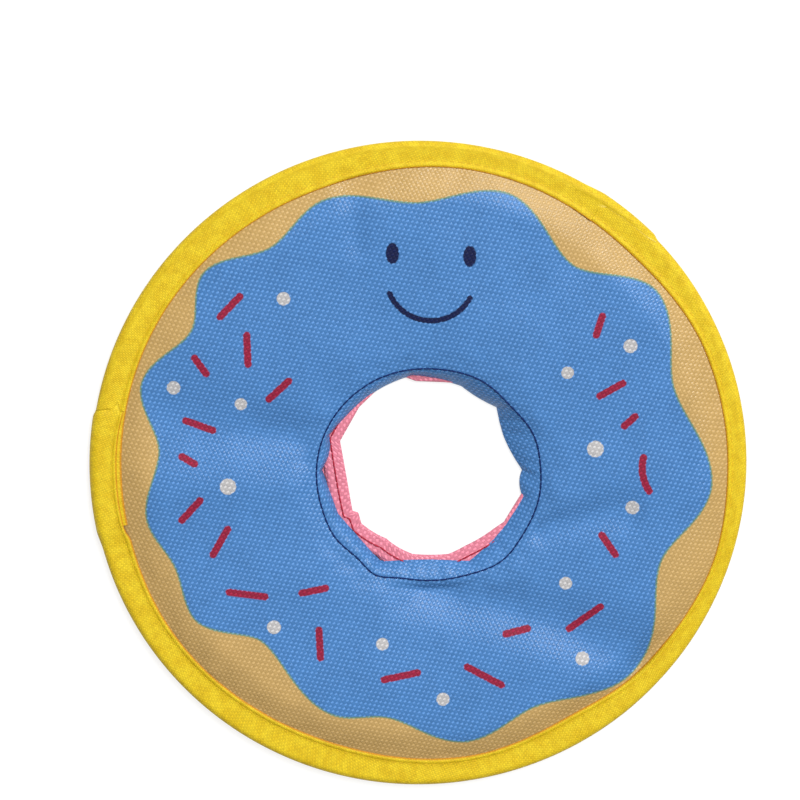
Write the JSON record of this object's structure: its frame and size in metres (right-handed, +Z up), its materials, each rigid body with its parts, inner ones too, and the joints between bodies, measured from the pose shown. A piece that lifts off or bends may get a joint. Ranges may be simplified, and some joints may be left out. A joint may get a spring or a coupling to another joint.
{
  "type": "flying ring",
  "caption": "Soft cloth flying ring for lawn games: two printed covers over a springy hoop, bound with tape round the rim and hemmed at the centre hole.",
  "frame": {"origin": "bottom centre: on the ring's axis, in the plane it lies on", "axes": "+Z up out of the printed front, along the ring's axis; +Y towards the top of the print; +X to the right of the print"},
  "size_m": [0.2006, 0.2, 0.0072],
  "materials": {
    "blue_print_cloth": "printed polyester oxford weave, slightly glossy",
    "pink_print_cloth": "printed polyester oxford weave, slightly glossy",
    "yellow_tape": "fine woven tape",
    "spring_wire": "bright drawn spring wire",
    "crimp_sleeve": "crimped steel tube",
    "yellow_thread": "polyester sewing thread",
    "dark_blue_thread": "polyester sewing thread",
    "red_thread": "polyester sewing thread"
  },
  "bodies": {
    "root": {"front_cover": "blue_print_cloth", "back_cover": "pink_print_cloth", "binding_upper": "yellow_tape", "binding_lower": "yellow_tape", "rim_hoop": "spring_wire", "hoop_sleeve": "crimp_sleeve", "binding_stitching": "yellow_thread", "front_hem_stitching": "dark_blue_thread", "back_hem_stitching": "red_thread"}
  },
  "joints": []
}
